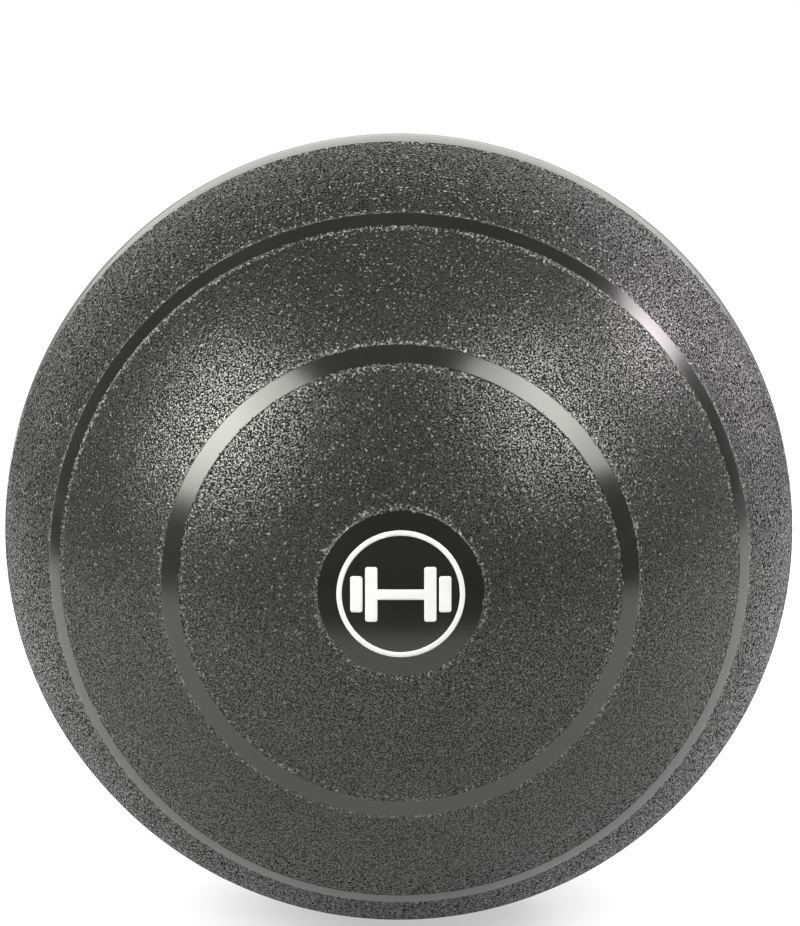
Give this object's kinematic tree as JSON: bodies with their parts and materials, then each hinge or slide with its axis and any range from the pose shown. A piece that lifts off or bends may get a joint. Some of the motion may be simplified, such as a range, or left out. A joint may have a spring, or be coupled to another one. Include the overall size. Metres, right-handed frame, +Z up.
{
  "type": "weighted exercise ball",
  "caption": "No-bounce exercise ball: grained rubber shell with raised smooth rings, loose sand fill, bonded fill plug and needle valve.",
  "frame": {"origin": "centre of the ball", "axes": "+Y out of the needle valve at the rear pole, -Y out of the printed front patch, +Z up, with the sand settled low"},
  "size_m": [0.28, 0.28, 0.28],
  "materials": {
    "shell_rubber": "satin",
    "bladder_rubber": "satin",
    "iron_sand": "matte",
    "plug_plastic": "satin",
    "seal_rubber": "satin",
    "valve_rubber": "matte",
    "white_ink": "satin"
  },
  "bodies": {
    "ball": {"outer_shell": "shell_rubber", "inner_bladder": "bladder_rubber", "fill_plug": "plug_plastic", "plug_seal": "seal_rubber", "valve_boot": "valve_rubber", "valve_insert": "valve_rubber", "front_mark": "white_ink"},
    "sand": {"sand_fill": "iron_sand"}
  },
  "joints": [
    {"name": "sand_shift", "type": "hinge", "parent": "ball", "child": "sand", "pos_m": [0, 0, 0], "axis": [0, 1, 0], "continuous": true}
  ]
}
